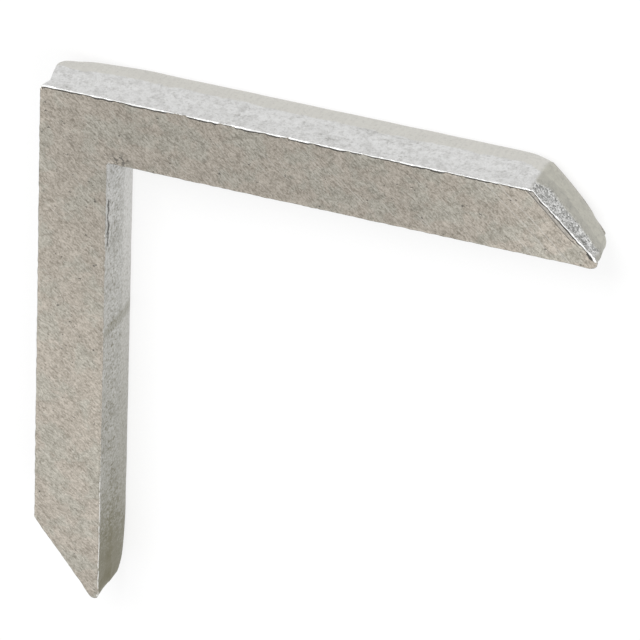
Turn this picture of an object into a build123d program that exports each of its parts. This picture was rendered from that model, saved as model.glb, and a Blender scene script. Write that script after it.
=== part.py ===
from build123d import *
from math import radians, sqrt, tan
import os

# Corner key: an L of thick plate, blanked in one stroke, that joins two frame members at a corner.
# It lies flat on the face that went first through the die. The origin is on that face, where the
# centre lines of the two legs cross. One leg runs along +X, the other along -Y.
# Going up from the resting face, a blanked wall has a rounded roll-over, a straight bright land,
# and a fracture zone that is set in, and ends in a thin burr round the upper face.

# Driving dimensions, in millimetres and degrees
leg_length = 50.7            # outer edge of one leg to the sharp tip of the other
leg_width = 6.35             # across the land
plate_thickness = 6.35       # without the burr
end_angle = 41.0             # between the cut end of a leg and its length

outer_corner_radius = 1.0    # in plan, where the legs meet
inner_corner_radius = 0.5    # in plan, inside the L
shoulder_radius = 0.9        # in plan, where an end cut starts
tip_radius = 0.8             # in plan, at the tip of a leg
face_corner_radius = 0.45    # in plan, at every outward corner of the upper face

roll_over_radius = 0.7       # round the resting face
tip_roll_length = 10.0       # the resting face starts to curve up this far short of a tip
tip_roll_radius = 15.0       # of that curve
corner_roll_length = 8.0     # the same, short of the outer corner
corner_roll_radius = 18.0

land_top = 3.4               # height where the land ends and the fracture starts
waist_height = 4.2           # height of the deepest part of the fracture
waist_inset = 0.3            # of the deepest part, from the land
face_inset = 0.13            # of the upper face, from the land

burr_height = 0.08           # above the upper face
burr_width = 0.12

# Points of the sharp outline
half_width = leg_width / 2
end_run = leg_width / tan(radians(end_angle))
tip_reach = leg_length - half_width
shoulder_reach = tip_reach - end_run

outer_corner = (-half_width, half_width)
inner_corner = (half_width, -half_width)
shoulder_x = (shoulder_reach, half_width)
tip_x = (tip_reach, -half_width)
tip_y = (half_width, -tip_reach)
shoulder_y = (-half_width, -shoulder_reach)

# Roundings of the outline in plan: the land's, and the upper face's, which is sharper
land_radii = {
    outer_corner: outer_corner_radius,
    inner_corner: inner_corner_radius,
    shoulder_x: shoulder_radius,
    shoulder_y: shoulder_radius,
    tip_x: tip_radius,
    tip_y: tip_radius,
}
face_radii = dict.fromkeys(land_radii, face_corner_radius) | {inner_corner: inner_corner_radius}

# Where the resting face curves up: the corner, the direction in plan that halves it, and the curve
face_rolls = [
    (tip_x, 180 - end_angle / 2, tip_roll_length, tip_roll_radius),
    (tip_y, 90 + end_angle / 2, tip_roll_length, tip_roll_radius),
    (outer_corner, -45, corner_roll_length, corner_roll_radius),
]


def outline(inset, radii):
    """Outline of the blank, set in from the sharp outline of the land, then rounded."""
    with BuildSketch() as blank:
        with BuildLine():
            Polyline(outer_corner, shoulder_x, tip_x, inner_corner, tip_y, shoulder_y, close=True)
        make_face()
        if inset > 0:
            offset(amount=-inset, kind=Kind.INTERSECTION)
        for corner, radius in radii.items():
            fillet(blank.vertices().sort_by_distance(corner)[0], radius)
    return blank.sketch


land = outline(0, land_radii)
waist = outline(waist_inset, land_radii)
upper_face = outline(face_inset, face_radii)

with BuildPart() as corner_key:
    with BuildSketch():
        add(land)
    extrude(amount=land_top)

    # The resting face curves up towards each tip and the outer corner
    past_corner = 0.5
    below_face = 1.0
    for corner, angle, length, radius in face_rolls:
        inward = Vector(1, 0, 0).rotate(Axis.Z, angle)
        upright = Plane(origin=(*corner, 0), x_dir=inward, z_dir=inward.cross(Vector(0, 0, 1)))
        curve_top = radius - sqrt(radius**2 - (length + past_corner) ** 2)
        with BuildSketch(upright):
            with BuildLine():
                Polyline(
                    (-past_corner, curve_top),
                    (-past_corner, -below_face),
                    (length, -below_face),
                    (length, 0),
                )
                RadiusArc((length, 0), (-past_corner, curve_top), radius)
            make_face()
        extrude(amount=3 * leg_width, both=True, mode=Mode.SUBTRACT)

    # Roll-over round the resting face
    lower_faces = corner_key.faces().filter_by(lambda face: face.normal_at().Z < -0.2)
    walls = corner_key.faces().filter_by(lambda face: abs(face.normal_at().Z) < 0.01)
    fillet(lower_faces.edges() & walls.edges(), roll_over_radius)

    # Fracture zone: set in to its waist, then out again to the upper face
    with BuildSketch(Plane.XY.offset(land_top)):
        add(land)
    with BuildSketch(Plane.XY.offset(waist_height)):
        add(waist)
    loft(ruled=True)
    with BuildSketch(Plane.XY.offset(waist_height)):
        add(waist)
    with BuildSketch(Plane.XY.offset(plate_thickness)):
        add(upper_face)
    loft(ruled=True)

    # Burr round the upper face
    with BuildSketch(Plane.XY.offset(plate_thickness)):
        add(upper_face)
        offset(amount=-burr_width, mode=Mode.SUBTRACT)
    extrude(amount=burr_height)

corner_key.part.label = "corner_key"
os.makedirs("parts", exist_ok=True)
export_step(corner_key.part, "parts/corner_key.step")
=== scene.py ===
"""Makes a blanked aluminium corner key, and the stage it is shown on."""

import math

import bmesh
import bpy
from bpy.props import FloatProperty, FloatVectorProperty, IntProperty, PointerProperty
from mathutils import Matrix, Vector, noise


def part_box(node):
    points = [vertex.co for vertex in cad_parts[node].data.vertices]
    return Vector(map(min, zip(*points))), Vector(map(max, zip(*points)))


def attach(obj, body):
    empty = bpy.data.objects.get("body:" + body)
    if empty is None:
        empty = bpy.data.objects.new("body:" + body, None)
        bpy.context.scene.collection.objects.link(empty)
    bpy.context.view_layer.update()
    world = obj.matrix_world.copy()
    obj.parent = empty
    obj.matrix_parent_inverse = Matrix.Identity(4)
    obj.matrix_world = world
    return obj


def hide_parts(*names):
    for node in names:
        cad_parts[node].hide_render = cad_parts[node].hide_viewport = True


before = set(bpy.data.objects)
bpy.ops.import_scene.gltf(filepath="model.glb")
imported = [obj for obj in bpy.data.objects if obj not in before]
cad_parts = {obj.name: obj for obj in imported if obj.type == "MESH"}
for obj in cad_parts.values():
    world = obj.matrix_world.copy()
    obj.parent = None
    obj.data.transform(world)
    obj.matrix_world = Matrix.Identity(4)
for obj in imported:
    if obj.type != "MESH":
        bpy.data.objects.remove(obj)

bl_info = {
    "name": "Corner Key",
    "version": (1, 0, 0),
    "blender": (4, 5, 0),
    "location": "3D View > Sidebar > Corner Key",
    "description": "Makes a blanked aluminium corner key and the stage it is shown on",
    "category": "Add Mesh",
}

NODE = "corner_key"
CAD_LOW, CAD_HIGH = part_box(NODE)
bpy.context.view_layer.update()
MM = 0.001

# Rings of the wall, counted up from the resting face
ROLL_RINGS = 10
LAND_RINGS = 9
FRACTURE_RINGS = 18
LIP_RINGS = 6
FACE_RING = ROLL_RINGS + LAND_RINGS + FRACTURE_RINGS + LIP_RINGS


def length(name, description, default):
    """A size in metres, given in millimetres."""
    return FloatProperty(
        name=name, description=description, default=default * MM, min=0, precision=5, unit="LENGTH"
    )


def angle(name, description, default, low, high):
    """An angle in radians, given in degrees."""
    return FloatProperty(
        name=name,
        description=description,
        default=math.radians(default),
        min=math.radians(low),
        max=math.radians(high),
        subtype="ANGLE",
    )


def colour(name, description, default):
    """A colour as a user picks it."""
    return FloatVectorProperty(
        name=name, description=description, default=default, min=0, max=1, subtype="COLOR"
    )


class KeySizes(bpy.types.PropertyGroup):
    """Sizes of the key that the CAD frame leaves open."""

    angle_x: angle("End angle, X leg", "Between the cut end of the X leg and its length", 42.4, 20, 90)
    angle_y: angle("End angle, Y leg", "Between the cut end of the Y leg and its length", 38.4, 20, 90)
    reach_x: length("Reach, X leg", "From the origin to the sharp tip of the X leg", 47.5)
    reach_y: length("Reach, Y leg", "From the origin to the sharp tip of the Y leg", 47.8)
    face_radius: length("Face corner", "Plan radius at the corners of the upper face", 0.3)
    tip_radius: length("Tip corner", "Plan radius at the tips of the upper face", 0.65)
    roll_width: length("Roll-over width", "How far the roll-over reaches in from a side", 0.5)
    roll_height: length("Roll-over height", "How far up a side the roll-over reaches", 1.8)
    burr_height: length("Burr height", "Of the burr above the upper face", 0.08)
    burr_width: length("Burr width", "Across the burr", 0.11)
    waist_depth: length("Waist depth", "How far the fracture is set in from the land", 0.2)
    columns: IntProperty(
        name="Columns", description="Cuts along each leg", default=180, min=20, max=260
    )
    rows: IntProperty(
        name="Rows", description="Cuts across each leg", default=38, min=8, max=60
    )


class KeyColours(bpy.types.PropertyGroup):
    """Colours of the key's finishes."""

    face: colour("Face", "Rolled skin of the plate", (0.62, 0.572, 0.508))
    face_dark: colour("Face grain", "Bottom of the grain in the face", (0.29, 0.262, 0.22))
    warm_tint: colour("Warm tint", "Times the face, over most of it", (0.985, 0.98, 0.972))
    cool_tint: colour("Cool tint", "Times the face, in patches", (0.953, 0.987, 0.985))
    # Lighter than the face: partly the sheared metal's own tone, partly painted light
    wall: colour("Wall", "Sheared wall", (0.68, 0.68, 0.675))
    wall_dark: colour("Wall stain", "Darker patches on the wall", (0.38, 0.375, 0.36))
    roll: colour("Roll-over", "Skin drawn round the resting edge", (0.60, 0.59, 0.555))
    end: colour("Cut end", "Dull burnished part of a cut end", (0.49, 0.48, 0.425))
    # Dark band of a cut end: the burnish's own tone, with painted shade
    end_dark: colour("Burnish", "Band below the torn zone of a cut end", (0.31, 0.305, 0.28))
    torn: colour("Torn grain", "Bright grains of the torn zone", (0.72, 0.72, 0.71))
    torn_dark: colour("Torn pit", "Dark grains of the torn zone", (0.25, 0.25, 0.24))
    # Painted highlight along the burr's edge
    burr: colour("Burr", "Bright edge of the burr", (0.99, 0.99, 0.98))
    # Painted shade in the crease beside the burr, and dark shade and dirt in pits, cracks and pressed lines
    crease: colour("Crease", "Dirt in a crease, crack or pit", (0.10, 0.095, 0.085))
    # Painted shade inside the L, with an olive tint
    inside_shade: colour("Tarnish", "Dull film inside the L", (0.185, 0.172, 0.115))


class StageSettings(bpy.types.PropertyGroup):
    """Floor, lamps and camera."""

    floor: colour("Floor", "Floor and background", (0.92, 0.92, 0.92))
    key_power: FloatProperty(
        name="Key lamp", description="Power of the key lamp", default=2.4, min=0, unit="POWER"
    )
    fill_power: FloatProperty(
        name="Fill lamp", description="Power of the fill lamp", default=1.2, min=0, unit="POWER"
    )
    world_strength: FloatProperty(
        name="World", description="Light of the surroundings on the object", default=0.7, min=0
    )
    lens: FloatProperty(
        name="Lens",
        description="Focal length in millimetres",
        default=377.6,
        min=10,
        subtype="DISTANCE_CAMERA",
    )
    azimuth: angle("Azimuth", "Of the camera about the key, from the -Y side", 150.70, -180, 180)
    elevation: angle("Elevation", "Of the camera above the floor", 53.955, -90, 90)
    roll: angle("Roll", "Of the camera about its own axis, clockwise", 143.015, -180, 180)
    distance: length("Distance", "From the camera to the point it looks at", 565.58)
    aim: FloatVectorProperty(
        name="Aim",
        description="Point that the camera looks at",
        default=(21.42 * MM, -15.66 * MM, 3.2 * MM),
        precision=5,
        subtype="XYZ_LENGTH",
    )


# Geometry of the blank, in millimetres

# How far the roll-over reaches in and up, where it is not as on the outer sides
ROLL_WIDTH = {"inner": 0.3, "end": 0.65, "tip": 0.2, "corner": 0.35}
ROLL_HEIGHT = {"end": 2.0, "tip": 0.9, "corner": 0.6}

# Height of the fracture on the sides, and at both ends of the X leg's cut
TORN_HEIGHT = {"side": 2.6, "tip": 1.3, "shoulder": 2.2}
SHOULDER_SHRINK = 0.6

# Least height of the land, and how far the face's edge is set in from it, with what the -X side adds
LEAST_LAND = 0.3
FACE_INSET, OUTER_INSET = 0.11, 0.03

# Step at the outer corner: how deep, and where it is deepest and ends below the upper face
STEP_DEPTH, STEP_DEEPEST, STEP_END = 0.27, 1.6, 3.7

# Rise of the resting face toward the cut ends and the outer corner: how high, and over what length
END_RISE, END_RISE_REACH = 0.7, 1.8
CORNER_RISE, CORNER_RISE_REACH = 0.9, 3.0

# Plan radii of the corners at the land and at the resting face
LAND_RADIUS = {"outer": 0.35, "tip x": 0.85, "tip y": 0.6, "shoulder": 0.6}
REST_RADIUS = {"outer": 0.7, "tip x": 0.85, "tip y": 0.9, "shoulder": 0.7}
HOLLOW_RADIUS = 0.2

# Below the upper face, the depth over which the plan radii pass from the face's to the land's
ROUNDING_DEPTH = 2.5


def smooth(low, high, value):
    """0 below low, 1 above high, and a soft step between them."""
    t = min(1.0, max(0.0, (value - low) / (high - low)))
    return t * t * (3 - 2 * t)


def blend(a, b, share):
    """From a to b, as share runs from 0 to 1."""
    return a + (b - a) * share


def set_in(below):
    """How far the outer corner is set in, at a depth below the upper face."""
    past = (STEP_END - below) / (STEP_END - STEP_DEEPEST)
    return STEP_DEPTH * max(0.0, min(below / STEP_DEEPEST, past))


def waves(x, y, z, scale):
    """Soft noise from -1 to 1, whose bumps are about scale across."""
    return noise.noise(Vector((x / scale, y / scale, z / scale)))


class Edge:
    """One straight side of the outline."""

    def __init__(self, start, end):
        self.start = Vector(start)
        self.run = Vector(end) - self.start
        self.span = self.run.length
        self.along = self.run / self.span
        self.out = Vector((self.along.y, -self.along.x))

    def depth(self, point):
        """How far the point lies inside this side's line."""
        return -(point - self.start).dot(self.out)

    def nearest(self, point):
        """The point of this side that is nearest to a point."""
        share = (point - self.start).dot(self.along)
        return self.start + self.along * min(self.span, max(0.0, share))


class Corner:
    """One outward corner of the outline, between two sides."""

    def __init__(self, name, before, after):
        self.name = name
        self.before = before
        self.after = after
        self.point = after.start
        self.inward = (after.along - before.along).normalized()
        self.half_angle = math.acos(max(-1, min(1, self.inward.dot(after.along))))

    def centre(self, radius):
        """The centre of its rounding."""
        return self.point + self.inward * (radius / math.sin(self.half_angle))

    def holds(self, point, radius):
        """Whether the point lies between the corner and the ends of its rounding."""
        reach = radius / math.tan(self.half_angle)
        away = point - self.point
        return away.dot(self.after.along) < reach and away.dot(-self.before.along) < reach

    def rounded(self, point, radius, rim):
        """(new point, outward direction, depth under the rounding) of a point that it holds."""
        centre = self.centre(radius)
        away = point - centre
        far = away.length
        if far < 1e-6:
            return point, -self.inward, radius
        direction = away / far
        if rim:
            return centre + direction * radius, direction, 0.0
        square = max(direction.dot(self.before.out), direction.dot(self.after.out), 0.2)
        edge = radius / square
        start = radius * 0.4
        if far > start:
            far = start + (radius - start) * (far - start) / (edge - start)
        return centre + direction * far, direction, radius - far


class Blank:
    """The outline of the key, and how its wall, faces and lip are shaped."""

    def __init__(self, sizes):
        mm = 1 / MM
        half = CAD_HIGH.y * mm
        self.half = half
        self.thickness = (CAD_HIGH.z - sizes.burr_height) * mm
        self.face_radius = sizes.face_radius * mm
        self.roll_width = sizes.roll_width * mm
        self.roll_height = sizes.roll_height * mm
        self.burr_height = sizes.burr_height * mm
        self.burr_width = sizes.burr_width * mm
        self.waist_depth = sizes.waist_depth * mm
        reach_x = sizes.reach_x * mm
        reach_y = sizes.reach_y * mm
        run_x = 2 * half / math.tan(sizes.angle_x)
        run_y = 2 * half / math.tan(sizes.angle_y)
        self.sharp = [
            (-half, half),
            (-half, -(reach_y - run_y)),
            (half, -reach_y),
            (half, -half),
            (reach_x, -half),
            (reach_x - run_x, half),
        ]
        ends = self.sharp[1:] + self.sharp[:1]
        self.edges = [Edge(a, b) for a, b in zip(self.sharp, ends)]
        self.outer_y, self.end_y, self.inner_y, self.inner_x, self.end_x, self.outer_x = self.edges
        self.outer_corner = Corner("outer", self.outer_x, self.outer_y)
        self.tip_y = Corner("tip y", self.end_y, self.inner_y)
        self.tip_x = Corner("tip x", self.inner_x, self.end_x)
        self.shoulder_y = Corner("shoulder", self.outer_y, self.end_y)
        self.shoulder_x = Corner("shoulder", self.end_x, self.outer_x)
        self.corners = [
            self.outer_corner,
            self.tip_y,
            self.tip_x,
            self.shoulder_y,
            self.shoulder_x,
        ]
        face, tip = self.face_radius, sizes.tip_radius * mm
        self.top_radius = {"outer": face * 0.6, "tip x": tip, "tip y": tip * 0.85, "shoulder": face}
        self.hollow = self.inner_x.start + Vector((1, -1)) * HOLLOW_RADIUS

    def end_depth(self, point):
        """How far a point lies inside the nearer cut end."""
        return min(self.end_x.depth(point), self.end_y.depth(point))

    def side_shares(self, point):
        """How much a point belongs to each side of the outline, by its nearness."""
        return {side: smooth(0.9, 0.1, (side.nearest(point) - point).length) for side in self.edges}

    def lift(self, point):
        """Height of the resting face, which curves up toward the tips and the outer corner."""
        height = 0.0
        for corner, reach, radius in (
            (self.tip_x, 8.0, 14.0),
            (self.tip_y, 7.5, 24.0),
            (self.outer_corner, 6.0, 18.0),
        ):
            past = reach - (point - corner.point).dot(corner.inward)
            if past > 0:
                height += radius - math.sqrt(max(0.0, radius**2 - past**2))
        near_end = max(0.0, 1 - self.end_depth(point) / END_RISE_REACH)
        near_corner = max(0.0, 1 - (point - self.outer_corner.point).length / CORNER_RISE_REACH)
        return height + END_RISE * near_end**2 + CORNER_RISE * near_corner**2

    def plan(self, point, share, inset, rim):
        """Moves a point in plan: share runs from -1 at the resting face, by 0 at the land, to 1 on top."""
        for corner in self.corners:
            beyond = self.top_radius if share >= 0 else REST_RADIUS
            radius = blend(LAND_RADIUS[corner.name], beyond[corner.name], abs(share))
            radius += max(0.0, inset)
            if corner.holds(point, radius):
                moved, out, depth = corner.rounded(point, radius, rim)
                fade = max(0.0, 1 - depth / radius)
                return moved - out * inset * fade
        if point.x < self.hollow.x and point.y > self.hollow.y:
            away = self.hollow - point
            inner = (away.length - HOLLOW_RADIUS, away.normalized())
        elif point.x > -point.y:
            inner = (self.inner_x.depth(point), self.inner_x.out)
        else:
            inner = (self.inner_y.depth(point), self.inner_y.out)
        sides = [inner]
        for side in (self.outer_x, self.outer_y, self.end_x, self.end_y):
            sides.append((side.depth(point), side.out))
        depth, out = min(sides, key=lambda pair: pair[0])
        fade = max(0.0, 1 - max(0.0, depth) / self.half) ** 2
        return point - out * inset * fade

    def roll_over(self, spot):
        """Width and height of the roll-over."""
        width = blend(self.roll_width, ROLL_WIDTH["inner"], spot.inner)
        width = blend(width, ROLL_WIDTH["end"], spot.ending)
        width *= 1 + 0.15 * waves(spot.x, spot.y, 0.0, 3.1)
        width = blend(blend(width, ROLL_WIDTH["tip"], spot.sharp), ROLL_WIDTH["corner"], spot.corner)
        height = blend(self.roll_height, ROLL_HEIGHT["end"], spot.ending)
        height *= 1 + 0.15 * waves(spot.x, spot.y, 4.0, 2.3)
        height = blend(blend(height, ROLL_HEIGHT["tip"], spot.sharp), ROLL_HEIGHT["corner"], spot.corner)
        return width, height

    def torn_height(self, spot):
        """Height of the fracture, which thins toward the X tip and at the X shoulder."""
        along = smooth(0.0, 1.0, (spot.point - self.end_x.start).length / self.end_x.span)
        at_end = blend(TORN_HEIGHT["tip"], TORN_HEIGHT["shoulder"], along)
        height = blend(TORN_HEIGHT["side"], at_end, spot.ending)
        height *= 1 + 0.25 * waves(spot.x, spot.y, 9.0, 1.1)
        shoulder = smooth(1.6, 0.2, (spot.point - self.shoulder_x.point).length)
        return height * blend(1.0, SHOULDER_SHRINK, spot.end * shoulder)

    def burr_share(self, spot):
        """How much of the full burr stands here."""
        near = spot.near
        # This share also sets the strength of the burr's painted highlight and of the painted shade beside
        # it
        share = max(
            near[self.outer_x],
            near[self.end_x] * blend(0.12, 1.0, smooth(0.6, 1.8, spot.tip)),
            near[self.inner_y] * blend(0.3, 0.65, smooth(-28.0, -40.0, spot.y)),
            near[self.outer_y] * 0.15,
            near[self.end_y] * 0.1,
            near[self.inner_x] * 0.15,
        )
        return share * (1 - 0.9 * smooth(1.3, 0.5, spot.tip))

    def place(self, spot, ring):
        """Inset, height, rounding share and finish of a vertex of the plain extrusion."""
        top = self.thickness
        floor = self.lift(spot.point)
        roll_width, roll_height = self.roll_over(spot)
        land_top = top - self.torn_height(spot)
        roll_top = min(floor + roll_height, land_top - LEAST_LAND)
        burr_share = self.burr_share(spot)
        face_inset = FACE_INSET + OUTER_INSET * spot.near[self.outer_y]
        face_inset *= 1 - 0.75 * spot.sharp
        finish = dict.fromkeys(FINISHES, 0.0)
        finish.update(end=spot.end, inner=spot.inner, wall=1.0)
        if ring <= ROLL_RINGS:
            turn = math.pi / 2 * ring / ROLL_RINGS
            inset = roll_width * (1 - math.sin(turn))
            height = floor + (roll_top - floor) * (1 - math.cos(turn))
            share = -(1 - ring / ROLL_RINGS)
            finish["roll"] = 1.0
        elif ring <= ROLL_RINGS + LAND_RINGS:
            part = (ring - ROLL_RINGS) / LAND_RINGS
            height = blend(roll_top, land_top, part)
            inset = set_in(top - height) * spot.corner
            share = max(0.0, 1 - (top - height) / ROUNDING_DEPTH)
            finish["roll"] = smooth(0.7, 0.0, part)
            finish["torn"] = smooth(0.8, 1.0, part) * 0.5
        elif ring <= ROLL_RINGS + LAND_RINGS + FRACTURE_RINGS:
            part = (ring - ROLL_RINGS - LAND_RINGS) / FRACTURE_RINGS
            waist = self.waist_depth * blend(0.5, 1.0, spot.end) * (1 - 0.9 * spot.sharp)
            height = blend(land_top, top, part)
            hollow = blend(waist * math.sin(math.pi * part**0.7), set_in(top - height), spot.corner)
            inset = hollow + face_inset * part
            share = max(0.0, 1 - (top - height) / ROUNDING_DEPTH)
            finish["torn"] = blend(0.5, 1.0, smooth(0.0, 0.15, part) * smooth(1.0, 2.2, spot.tip))
            # The burr's painted highlight reaches onto the top of the wall
            finish["burr"] = smooth(0.94, 1.0, part) * burr_share * 0.7
        else:
            step = ring - (FACE_RING - LIP_RINGS)
            across, up, bright, dark = LIP[step - 1]
            ragged, sway = spot.unevenness()
            lip = self.burr_height * min(1.0, ragged * burr_share)
            inset = face_inset + across * self.burr_width * (0.6 + 0.5 * min(1.4, ragged)) + sway
            height = top + up * lip
            share = 1.0
            # Painted highlight along the burr
            finish["burr"] = bright * burr_share * min(1.0, ragged + 0.2)
            # Painted shade: a dark line in the crease beside the burr
            finish["crease"] = dark * burr_share * min(1.0, ragged) * (1 - spot.inner)
            finish["wall"] = 1.0 if step < 2 else 0.0
        if ring in (0, FACE_RING):
            finish.update(wall=0.0, roll=0.0)
        return inset, height, share, finish


def rough(x, y, z, finish):
    """How far the torn zone stands in or out, from its grains."""
    grain = waves(x, y, z, 0.35) + 0.6 * waves(x + 7, y, z, 0.8)
    return grain * (finish["torn"] * blend(0.018, 0.07, finish["end"]))


class Spot:
    """A point in plan, and how much it belongs to each part of the blank, from 0 to 1."""

    def __init__(self, blank, x, y):
        self.x = x
        self.y = y
        self.point = Vector((x, y))
        self.near = blank.side_shares(self.point)
        self.ending = smooth(1.6, 0.2, blank.end_depth(self.point))
        wander = 0.1 * waves(x, y, 2.0, 0.6)
        self.end = max(
            smooth(0.5, 0.15, (side.nearest(self.point) - self.point).length + wander)
            for side in (blank.end_x, blank.end_y)
        )
        self.inner = self.near[blank.inner_y] * (1 - self.end)
        self.tip = min((self.point - tip.point).length for tip in (blank.tip_x, blank.tip_y))
        self.sharp = smooth(3.0, 0.6, self.tip)
        self.corner = smooth(1.8, 0.4, (self.point - blank.outer_corner.point).length)

    def unevenness(self):
        """How ragged the burr is, and how far it sways from its line."""
        x, y = self.x, self.y
        ragged = max(0.1, 0.85 + 0.9 * waves(x, y, 20.0, 0.45) + 0.6 * waves(x, y, 26.0, 1.9))
        sway = 0.05 * waves(x, y, 31.0, 0.5) + 0.04 * waves(x, y, 37.0, 1.6)
        return ragged, sway * (1 - self.sharp)


# Finishes that the mesh carries, each from 0 to 1
FINISHES = ("roll", "torn", "burr", "crease", "end", "wall", "inner")

# Cuts round each corner, and smoothing passes over the resting face and the upper face
CORNER_CUTS = 6
SMOOTHING = {0: 40, FACE_RING: 12}

# Profile of the burr: across and up as shares of its width and height, then the strength of its painted
# highlight and of the painted shade in the crease beside it
LIP = (
    (-0.1, 0.6, 1.2, 0.0),
    (0.1, 1.0, 1.4, 0.0),
    (0.7, 0.9, 1.2, 0.0),
    (0.95, 0.1, 0.1, 1.0),
    (1.5, -0.6, 0.0, 1.6),
    (2.6, 0.0, 0.0, 0.0),
)


def flat_grid(blank, columns, rows):
    """The outline as one flat face with rounded corners, cut into a grid that follows both legs."""
    sheet = bmesh.new()
    corners = [sheet.verts.new((x, y, 0)) for x, y in blank.sharp]
    sheet.faces.new(corners)
    for corner, vert in zip(
        (blank.outer_corner, blank.shoulder_y, blank.tip_y, None, blank.tip_x, blank.shoulder_x),
        corners,
    ):
        half_angle = corner.half_angle if corner else math.pi / 4
        radius = blank.face_radius if corner else HOLLOW_RADIUS
        bmesh.ops.bevel(
            sheet,
            geom=[vert],
            offset=radius / math.tan(half_angle),
            offset_type="OFFSET",
            affect="VERTICES",
            segments=CORNER_CUTS,
            profile=0.5,
            material=-1,
        )
    whole = sheet.verts[:] + sheet.edges[:] + sheet.faces[:]
    bmesh.ops.bisect_plane(sheet, geom=whole, plane_co=(0, 0, 0), plane_no=(1, 1, 0), dist=0.01)
    legs = (
        (1, blank.outer_x.run * -1, blank.inner_x, Vector((0, 1, 0))),
        (-1, blank.outer_y.run, blank.inner_y, Vector((1, 0, 0))),
    )
    outer_point = blank.outer_corner.point
    inner_point = blank.inner_x.start
    for side, run, inner, across in legs:
        inner_run = inner.run * side
        for step in range(1, columns):
            share = step / columns
            a = outer_point + run * share
            b = inner_point + inner_run * share
            line = b - a
            cut(sheet, side, (a.x, a.y, 0), (line.y, -line.x, 0))
        for step in range(1, rows):
            offset = blend(-blank.half, blank.half, step / rows)
            cut(sheet, side, across * offset, across)
    bmesh.ops.remove_doubles(sheet, verts=sheet.verts[:], dist=0.03)
    return sheet


def cut(sheet, side, point, normal):
    """Cuts the faces of one leg by a plane."""
    faces = []
    for face in sheet.faces:
        middle = face.calc_center_median()
        if (middle.x + middle.y) * side > 0:
            faces.append(face)
    edges = dict.fromkeys(edge for face in faces for edge in face.edges)
    verts = dict.fromkeys(vert for face in faces for vert in face.verts)
    geom = [*verts, *edges, *faces]
    bmesh.ops.bisect_plane(sheet, geom=geom, plane_co=point, plane_no=normal, dist=0.005)


def raise_walls(sheet):
    """Extrudes the flat grid upward, and cuts the wall into rings one unit apart."""
    made = bmesh.ops.extrude_face_region(sheet, geom=sheet.faces[:])
    lifted = [g for g in made["geom"] if isinstance(g, bmesh.types.BMVert)]
    bmesh.ops.translate(sheet, verts=lifted, vec=(0, 0, FACE_RING))
    upright = [e for e in sheet.edges if abs(e.verts[0].co.z - e.verts[1].co.z) > 0.5]
    bmesh.ops.subdivide_edges(sheet, edges=upright, cuts=FACE_RING - 1, use_grid_fill=True)


def shape_key(sheet, blank):
    """Moves every vertex from the plain extrusion to its place on the blanked key."""
    layers = {name: sheet.verts.layers.float.new(name) for name in FINISHES}
    cap_verts = {0: [], FACE_RING: []}
    for vert in sheet.verts:
        ring = round(vert.co.z)
        x, y = vert.co.x, vert.co.y
        rim = any(f.normal.z**2 < 0.5 for f in vert.link_faces)
        if not rim:
            cap_verts[ring].append(vert)
        spot = Spot(blank, x, y)
        inset, height, share, finish = blank.place(spot, ring)
        inset += rough(x, y, height, finish)
        moved = blank.plan(spot.point, share, inset, rim)
        vert.co = (moved.x, moved.y, height)
        for name, value in finish.items():
            vert[layers[name]] = value
    for ring, passes in SMOOTHING.items():
        for _ in range(passes):
            bmesh.ops.smooth_vert(
                sheet, verts=cap_verts[ring], factor=0.5, use_axis_x=True, use_axis_y=True
            )
    for vert in cap_verts[0]:
        vert.co.z = blank.lift(vert.co.xy)


def make_mesh(blank, sizes):
    """The blanked key as one closed mesh, in metres."""
    sheet = flat_grid(blank, sizes.columns, sizes.rows)
    raise_walls(sheet)
    sheet.normal_update()
    shape_key(sheet, blank)
    bmesh.ops.recalc_face_normals(sheet, faces=sheet.faces[:])
    bmesh.ops.scale(sheet, verts=sheet.verts[:], vec=(MM, MM, MM))
    mesh = bpy.data.meshes.new("blanked_key")
    for face in sheet.faces:
        face.smooth = True
    sheet.to_mesh(mesh)
    sheet.free()
    return mesh


# Shader graphs

# Outputs of a Light Path node, and how much of the floor is plain white to the rays that show it
PATHS = {"camera": 0, "glossy": 3, "transmission": 6}
FLOOR_GLOW = 0.7

# Marks on the metal, in millimetres: centres of the darker patch on the face and of the nicks, then, inside
# the
# L, the stain's and the crack's distance along the Y leg, and the crack's height
DARKER_PATCH_AT = (17, 1, 6)
NICKS_AT = (4.2, -2.9, 6.3)
STAIN_AT, CRACK_AT, CRACK_HEIGHT = 20.6, 9.2, 6.40

# Share of the painted shade inside the L where it is deepest
DEEPEST_INNER_SHADE = 0.95


class Value:
    """A socket in a shader sum, so that a sum is written as plain Python."""

    def __init__(self, graph, socket):
        self.graph = graph
        self.socket = socket

    def maths(self, operation, *others):
        """One Math node on this value and others."""
        inputs = dict(enumerate((self, *others)))
        return self.graph.node("ShaderNodeMath", {"operation": operation}, inputs)

    def __add__(self, other):
        return self.maths("ADD", other)

    def __radd__(self, other):
        return self.maths("ADD", other)

    def __sub__(self, other):
        return self.maths("SUBTRACT", other)

    def __rsub__(self, other):
        inputs = {0: other, 1: self}
        return self.graph.node("ShaderNodeMath", {"operation": "SUBTRACT"}, inputs)

    def __mul__(self, other):
        return self.maths("MULTIPLY", other)

    def __rmul__(self, other):
        return self.maths("MULTIPLY", other)

    def __abs__(self):
        return self.maths("ABSOLUTE")

    def at_most(self, limit):
        return self.maths("MINIMUM", limit)

    def clamp(self):
        """This value, held between 0 and 1."""
        return self.graph.node("ShaderNodeClamp", {}, {0: self})


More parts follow.
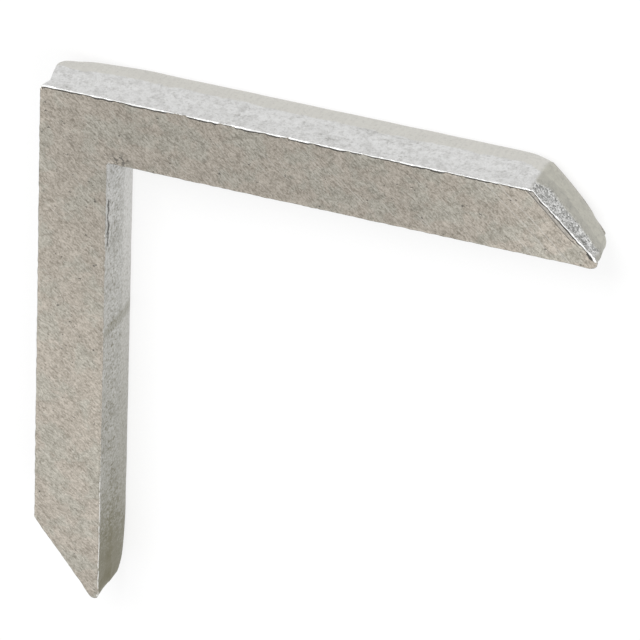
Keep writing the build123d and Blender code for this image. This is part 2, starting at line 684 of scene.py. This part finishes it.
class Graph:
    """The node tree of one material or of the world."""

    def __init__(self, tree):
        self.tree = tree
        tree.nodes.clear()

    def node(self, kind, settings, inputs, output=0):
        """A node with its settings and inputs, as the value of one of its outputs."""
        made = self.tree.nodes.new(kind)
        for name, value in settings.items():
            setattr(made, name, value)
        for name, value in inputs.items():
            if isinstance(value, Value):
                self.tree.links.new(value.socket, made.inputs[name])
            else:
                made.inputs[name].default_value = value
        return Value(self, made.outputs[output] if made.outputs else None)

    def step(self, value, low, high):
        """0 where value is low, 1 where it is high, and a soft step between them."""
        inputs = {"Value": value, "From Min": low, "From Max": high}
        settings = {"interpolation_type": "SMOOTHSTEP"}
        return self.node("ShaderNodeMapRange", settings, inputs)

    def mix(self, share, a, b):
        """From colour a to colour b."""
        inputs = {0: share, 6: rgba(a), 7: rgba(b)}
        return self.node("ShaderNodeMix", {"data_type": "RGBA"}, inputs, output=2)

    def mask(self, name):
        """One finish of the mesh, from 0 to 1."""
        return self.node("ShaderNodeAttribute", {"attribute_name": name}, {}, output=2)

    def stretch(self, coordinates, sizes, angle=0.0):
        """Coordinates for a pattern whose marks have these sizes, turned in plan by an angle in degrees."""
        inputs = {"Vector": coordinates, "Scale": sizes, "Rotation": (0, 0, math.radians(angle))}
        return self.node("ShaderNodeMapping", {"vector_type": "TEXTURE"}, inputs)

    def parts(self, coordinates):
        """The three parts of a vector."""
        return [self.node("ShaderNodeSeparateXYZ", {}, {0: coordinates}, output=i) for i in range(3)]

    def line(self, value, middle, width):
        """1 where value is at the middle of a line, and 0 beyond its width."""
        return self.step(abs(value - middle), width, width * 0.3)

    def noise(self, coordinates, scale, detail=2.0, roughness=0.5, distortion=0.0):
        inputs = {
            "Vector": coordinates,
            "Scale": scale,
            "Detail": detail,
            "Roughness": roughness,
            "Distortion": distortion,
        }
        return self.node("ShaderNodeTexNoise", {}, inputs)

    def cells(self, coordinates, scale):
        """A random colour for each cell."""
        inputs = {"Vector": coordinates, "Scale": scale}
        return self.node("ShaderNodeTexVoronoi", {}, inputs, output=1)

    def distance(self, coordinates, place):
        """How far the coordinates are from a place."""
        inputs = {0: coordinates, 1: place}
        return self.node("ShaderNodeVectorMath", {"operation": "DISTANCE"}, inputs, output=1)

    def rays(self, *kinds):
        """1 for rays of these kinds, and 0 for all others."""
        paths = [self.node("ShaderNodeLightPath", {}, {}, output=PATHS[kind]) for kind in kinds]
        return sum(paths[1:], paths[0]).clamp()


def rgba(value):
    if isinstance(value, Value):
        return value
    return (value[0], value[1], value[2], 1.0)


def rolled_face(g, mm, colours, end_x):
    """Colour, roughness and height of the plate's skin: slanting grain, soft mottling, pits, scratches."""
    x, y, _ = g.parts(mm)
    grain = (
        g.noise(g.stretch(mm, (0.42, 0.15, 1.0), -30), 1.0, 3.0, 0.7, 0.7) * 0.34
        + g.noise(g.stretch(mm, (0.46, 0.13, 1.0), -46), 1.0, 3.0, 0.7, 0.6) * 0.34
        + g.noise(mm, 6.4, 3.0, 0.7) * 0.32
    )
    mottle = g.noise(mm, 0.8, 5.0, 0.7, 0.6)
    flecks = g.step(g.noise(g.stretch(mm, (0.5, 0.15, 1.0), -45), 1.0, 2.0, 0.6), 0.60, 0.70)
    tone = g.step(grain * 0.84 + mottle * 0.16 - flecks * 0.05, 0.375, 0.615)
    face = g.mix(tone, colours.face_dark, colours.face)
    darker_patch = g.step(g.distance(mm, DARKER_PATCH_AT) + g.noise(mm, 0.2, 3.0) * 10, 37.0, 15.0)
    # Darker over a patch of the face and toward the Y tip
    shade = 1 - darker_patch * 0.22 - g.step(y, -39.0, -48.0) * 0.10
    face = g.node("ShaderNodeVectorMath", {"operation": "SCALE"}, {0: face, 3: shade})
    cool = g.step(g.noise(mm, 0.42, 4.0, 0.6, 0.3), 0.46, 0.58)
    tint = g.mix(cool, colours.warm_tint, colours.cool_tint)
    face = g.node("ShaderNodeVectorMath", {"operation": "MULTIPLY"}, {0: face, 1: tint})

    # Long light scratches, some across the leg and some along the cut end
    hair = g.step(g.noise(g.stretch(mm, (3.0, 0.07, 1.0), -40), 1.0, 1.0, 0.3), 0.68, 0.76)
    depth = end_x.start.dot(end_x.out) - (x * end_x.out.x + y * end_x.out.y)
    along = x * end_x.along.x + y * end_x.along.y - end_x.start.dot(end_x.along)
    bowed = depth + g.noise(mm, 0.35, 1.0) * 0.5
    beside = (
        g.line(bowed, 2.45, 0.05) * g.step(along, 0.0, 2.0)
        + g.line(bowed, 3.3, 0.04) * g.step(along, 3.0, 5.0)
        + g.line(bowed, 4.6, 0.05) * g.step(along, 8.0, 6.0)
    ).clamp()
    face = g.mix((hair * 0.22 + beside * 0.30).clamp(), face, colours.wall)

    # Pressed band beside the cut end, with two dark lines in it
    pressed = g.step(depth, 0.75, 0.45) * g.step(along, 3.6, 5.0)
    face = g.mix(pressed * 0.5, face, colours.wall_dark)
    lines = (g.line(bowed, 0.85, 0.09) + g.line(bowed, 0.50, 0.07)).clamp() * g.step(along, 2.6, 4.5)
    # The two lines are painted dark with shade and dirt
    face = g.mix(lines * 0.6, face, colours.crease)

    pits = g.step(g.noise(mm, 2.6, 2.0, 0.5), 0.31, 0.25)
    nicks = g.step(g.distance(mm, NICKS_AT), 1.3, 0.5) * g.step(g.noise(mm, 2.6, 3.0, 0.6), 0.47, 0.55)
    pits = (pits + nicks).clamp()
    # Pits and nicks painted dark with shade and dirt
    face = g.mix(pits * 0.75, face, colours.crease)
    rough = 0.50 + (grain - 0.5) * 0.25
    height = grain * 0.022 + mottle * 0.02 - pits * 0.03 - lines * 0.02 - hair * 0.008
    return face, rough, height


def sheared_wall(g, mm, colours, masks):
    """Colour, roughness and height of the wall: land, roll-over, torn zone, and painted shade inside the L.
    """
    _, y, z = g.parts(mm)
    patches = g.step(g.noise(mm, 0.48, 3.0, 0.55, 0.4), 0.50, 0.72)
    specks = g.step(g.noise(mm, 3.2, 3.0, 0.65), 0.50, 0.70)
    spots = g.step(g.noise(mm, 0.95, 3.0, 0.6, 0.5), 0.62, 0.72)
    streaks = g.step(g.noise(g.stretch(mm, (0.22, 0.22, 3.5)), 1.0, 3.0, 0.6), 0.40, 0.70)
    fine = g.step(g.noise(mm, 5.0, 2.0, 0.6), 0.42, 0.60)
    front = g.step(z, 2.8, 4.6) * masks["inner"]
    cloud = g.step(g.noise(mm, 1.5, 4.0, 0.65, 0.4), 0.42, 0.64)
    dull = patches * 0.26 + specks * 0.30 + spots * (fine * 0.4 + 0.15) + fine * 0.20 + cloud * 0.34
    dull = (dull - 0.06 + front * specks * 0.8).clamp()
    wall = g.mix(dull, colours.wall, colours.wall_dark)
    # Painted light: inside the L the roll-over is lightened toward the wall's colour, against the shade
    # there
    drawn = g.mix(masks["inner"] * 0.6, colours.roll, colours.wall)
    drawn = g.mix((specks * 0.25 + streaks * 0.15).clamp(), drawn, colours.wall_dark)
    low = g.step(masks["roll"] + g.noise(mm, 0.9, 3.0, 0.6) * 0.9, 0.80, 1.10)
    wall = g.mix(low, wall, drawn)

    # Cut ends: a dull burnish below the torn zone, darkened away from the roll-over partly as painted
    # shade, whose grains sparkle
    burnish = g.mix((1 - low) * 0.34 + cloud * 0.3 + specks * 0.2, colours.end, colours.end_dark)
    wall = g.mix(masks["end"], wall, burnish)
    cell = g.node("ShaderNodeSeparateColor", {}, {0: g.cells(mm, 6.5)})
    broad = g.noise(mm, 2.0, 3.0, 0.6) * 0.4
    grains = g.step(cell * 0.4 + g.noise(mm, 8.0, 3.0, 0.75) * 0.5 + broad, 0.42, 0.86)
    torn = g.mix(grains, colours.torn_dark, colours.torn)
    wall = g.mix((masks["torn"] - 0.5).clamp() * 2.0 * masks["end"], wall, torn)

    # Painted shade inside the L, with an olive tint, deeper toward the tip, with a stain across it
    away = 0 - y
    inner_shade_and_stain = 0.06 + away * 0.0125 + g.step(away, 35.0, 47.0) * 0.36
    inner_shade_and_stain = inner_shade_and_stain + g.line(away + g.noise(mm, 0.8, 3.0) * 1.2, STAIN_AT, 0.8) * 0.25 + specks * 0.22
    worn = g.step(away, 33.0, 42.0)
    inner_shade_and_stain = inner_shade_and_stain - low * (0.26 - away * 0.0075 + worn * 0.17) + worn * cloud * 0.2 + fine * 0.2
    inner_shade_and_stain = inner_shade_and_stain.at_most(DEEPEST_INNER_SHADE) * masks["inner"]
    wall = g.mix(inner_shade_and_stain.clamp(), wall, colours.inside_shade)

    # A crack below the upper face, inside the L, painted dark with shade and dirt
    wavy = z + g.noise(g.stretch(mm, (1.0, 1.1, 1.0)), 1.0, 4.0, 0.7) * 1.4
    crack = g.line(wavy, CRACK_HEIGHT, 0.30) * g.step(abs(away - CRACK_AT), 2.5, 2.0) * masks["inner"]
    crack = crack * g.step(g.noise(mm, 2.4, 3.0, 0.7), 0.34, 0.50)
    wall = g.mix((crack * 1.2).clamp(), wall, colours.crease)

    rough = 0.46 + patches * 0.08 + specks * 0.06
    ragged = g.noise(mm, 4.5, 4.0, 0.7) * masks["torn"] * (0.02 + masks["end"] * 0.10)
    height = ragged + streaks * 0.012 + specks * -0.010 - crack * 0.08
    return wall, rough, height


def metal(colours, end_x):
    """The key's metal: rolled faces, sheared walls and the burr between them."""
    material = bpy.data.materials.new("blanked aluminium")
    material.use_nodes = True
    g = Graph(material.node_tree)
    objects = g.node("ShaderNodeTexCoord", {}, {}, output=3)
    mm = g.stretch(objects, (MM, MM, MM))
    masks = {name: g.mask(name) for name in FINISHES}
    face, face_rough, face_height = rolled_face(g, mm, colours, end_x)
    wall, wall_rough, wall_height = sheared_wall(g, mm, colours, masks)
    on_wall = masks["wall"]
    # The wall's lighter colour against the face is partly painted light
    base = g.mix(on_wall, face, wall)
    chips = g.noise(mm, 3.4, 4.0, 0.8)
    breaks = g.noise(mm, 2.0, 4.0, 0.8)
    # Painted shade in the crease beside the burr
    crease = g.step(masks["crease"] + (breaks - 0.5) * 2.4, 0.45, 0.75)
    # Painted highlight along the burr, halved inside the L
    burr = g.step(masks["burr"] + (chips - 0.5) * 2.2, 0.50, 0.75)
    base = g.mix(crease * g.step(masks["crease"], 0.0, 0.2), base, colours.crease)
    burr = burr * g.step(masks["burr"], 0.0, 0.2) * (1 - masks["inner"] * 0.5)
    base = g.mix(burr, base, colours.burr)
    rough = face_rough * (1 - on_wall) + wall_rough * on_wall - masks["burr"] * 0.15
    height = face_height * (1 - on_wall) + wall_height * on_wall
    bump = g.node("ShaderNodeBump", {}, {"Strength": 1.0, "Distance": MM, "Height": height})
    inputs = {"Base Color": base, "Metallic": 1.0, "Roughness": rough, "Normal": bump}
    shader = g.node("ShaderNodeBsdfPrincipled", {}, inputs)
    g.node("ShaderNodeOutputMaterial", {}, {"Surface": shader})
    return material


def floor_finish(colour_value):
    """A pale floor, white to the camera and in reflections, that keeps the key's shadow."""
    material = bpy.data.materials.new("studio floor")
    material.use_nodes = True
    g = Graph(material.node_tree)
    seen = g.rays("camera", "glossy")
    lit = g.node("ShaderNodeBsdfDiffuse", {}, {"Color": rgba(colour_value)})
    glow = g.node("ShaderNodeEmission", {}, {"Color": (1, 1, 1, 1), "Strength": 1.0})
    both = g.node("ShaderNodeMixShader", {}, {0: seen * FLOOR_GLOW, 1: lit, 2: glow})
    g.node("ShaderNodeOutputMaterial", {}, {"Surface": both})
    return material


def set_world(strength):
    """Soft surroundings that light the key at a strength, and are white where they show."""
    world = bpy.data.worlds.new("studio")
    world.use_nodes = True
    g = Graph(world.node_tree)
    seen = g.rays("camera", "glossy", "transmission")
    level = seen * (1 - strength) + strength
    sky = g.node("ShaderNodeBackground", {}, {"Color": (1, 1, 1, 1), "Strength": level})
    g.node("ShaderNodeOutputWorld", {}, {"Surface": sky})
    bpy.context.scene.world = world


# Half the width of the floor, how far below the key it lies, and each lamp's offset and width, in metres
FLOOR_REACH = 3.0
FLOOR_GAP = 0.02 * MM
KEY_LAMP, KEY_LAMP_WIDTH = Vector((-0.10, 0.45, 0.40)), 0.35
FILL_LAMP, FILL_LAMP_WIDTH = Vector((0.40, -0.10, 0.45)), 0.4


def add_lamp(name, offset, power, width):
    """A square soft lamp at an offset from the key's middle, turned to it."""
    data = bpy.data.lights.new(name, "AREA")
    data.energy = power
    data.size = width
    lamp = bpy.data.objects.new(name, data)
    lamp.location = (CAD_LOW + CAD_HIGH) / 2 + offset
    lamp.rotation_euler = (-offset).to_track_quat("-Z", "Y").to_euler()
    bpy.context.scene.collection.objects.link(lamp)


class KEY_OT_make_key(bpy.types.Operator):
    """Makes the blanked key over its CAD node"""

    bl_idname = "corner_key.make_key"
    bl_label = "Make Key"
    bl_options = {"REGISTER", "UNDO"}

    def execute(self, context):
        sizes = context.scene.key_sizes
        blank = Blank(sizes)
        mesh = make_mesh(blank, sizes)
        mesh.materials.append(metal(context.scene.key_colours, blank.end_x))
        key = bpy.data.objects.new("blanked_key", mesh)
        context.scene.collection.objects.link(key)
        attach(key, "root")
        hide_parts(NODE)
        return {"FINISHED"}


class KEY_OT_make_stage(bpy.types.Operator):
    """Makes the floor, the lamps, the surroundings and the camera"""

    bl_idname = "corner_key.make_stage"
    bl_label = "Make Stage"
    bl_options = {"REGISTER", "UNDO"}

    def execute(self, context):
        stage = context.scene.key_stage
        sheet = bmesh.new()
        bmesh.ops.create_grid(sheet, x_segments=1, y_segments=1, size=FLOOR_REACH)
        bmesh.ops.translate(sheet, verts=sheet.verts[:], vec=(0, 0, CAD_LOW.z - FLOOR_GAP))
        mesh = bpy.data.meshes.new("floor")
        sheet.to_mesh(mesh)
        sheet.free()
        mesh.materials.append(floor_finish(stage.floor))
        floor = bpy.data.objects.new("floor", mesh)
        context.scene.collection.objects.link(floor)
        add_lamp("key lamp", KEY_LAMP, stage.key_power, KEY_LAMP_WIDTH)
        add_lamp("fill lamp", FILL_LAMP, stage.fill_power, FILL_LAMP_WIDTH)
        set_world(stage.world_strength)
        self.add_camera(context, stage)
        context.scene.view_settings.view_transform = "Standard"
        return {"FINISHED"}

    def add_camera(self, context, stage):
        """A long lens above the key, rolled so that the X leg runs across and the Y leg down."""
        data = bpy.data.cameras.new("camera")
        data.lens = stage.lens
        data.clip_end = 10
        camera = bpy.data.objects.new("camera", data)
        turn = (
            Matrix.Rotation(stage.azimuth, 4, "Z")
            @ Matrix.Rotation(math.pi / 2 - stage.elevation, 4, "X")
            @ Matrix.Rotation(-stage.roll, 4, "Z")
        )
        back = turn.col[2].xyz
        camera.matrix_world = Matrix.Translation(Vector(stage.aim) + back * stage.distance) @ turn
        context.scene.collection.objects.link(camera)
        context.scene.camera = camera


class KEY_PT_panel(bpy.types.Panel):
    """Lists the key's operators and settings in the sidebar"""

    bl_idname = "KEY_PT_panel"
    bl_label = "Corner Key"
    bl_space_type = "VIEW_3D"
    bl_region_type = "UI"
    bl_category = "Corner Key"

    def draw(self, context):
        layout = self.layout
        layout.operator(KEY_OT_make_key.bl_idname)
        layout.operator(KEY_OT_make_stage.bl_idname)
        for group in (context.scene.key_sizes, context.scene.key_colours, context.scene.key_stage):
            box = layout.box()
            for name in type(group).__annotations__:
                box.prop(group, name)


CLASSES = (
    KeySizes,
    KeyColours,
    StageSettings,
    KEY_OT_make_key,
    KEY_OT_make_stage,
    KEY_PT_panel,
)


def register():
    for kind in CLASSES:
        bpy.utils.register_class(kind)
    bpy.types.Scene.key_sizes = PointerProperty(type=KeySizes)
    bpy.types.Scene.key_colours = PointerProperty(type=KeyColours)
    bpy.types.Scene.key_stage = PointerProperty(type=StageSettings)


def unregister():
    del bpy.types.Scene.key_stage
    del bpy.types.Scene.key_colours
    del bpy.types.Scene.key_sizes
    for kind in reversed(CLASSES):
        bpy.utils.unregister_class(kind)


def main():
    register()
    bpy.ops.corner_key.make_key()
    bpy.ops.corner_key.make_stage()


if __name__ == "__main__":
    main()
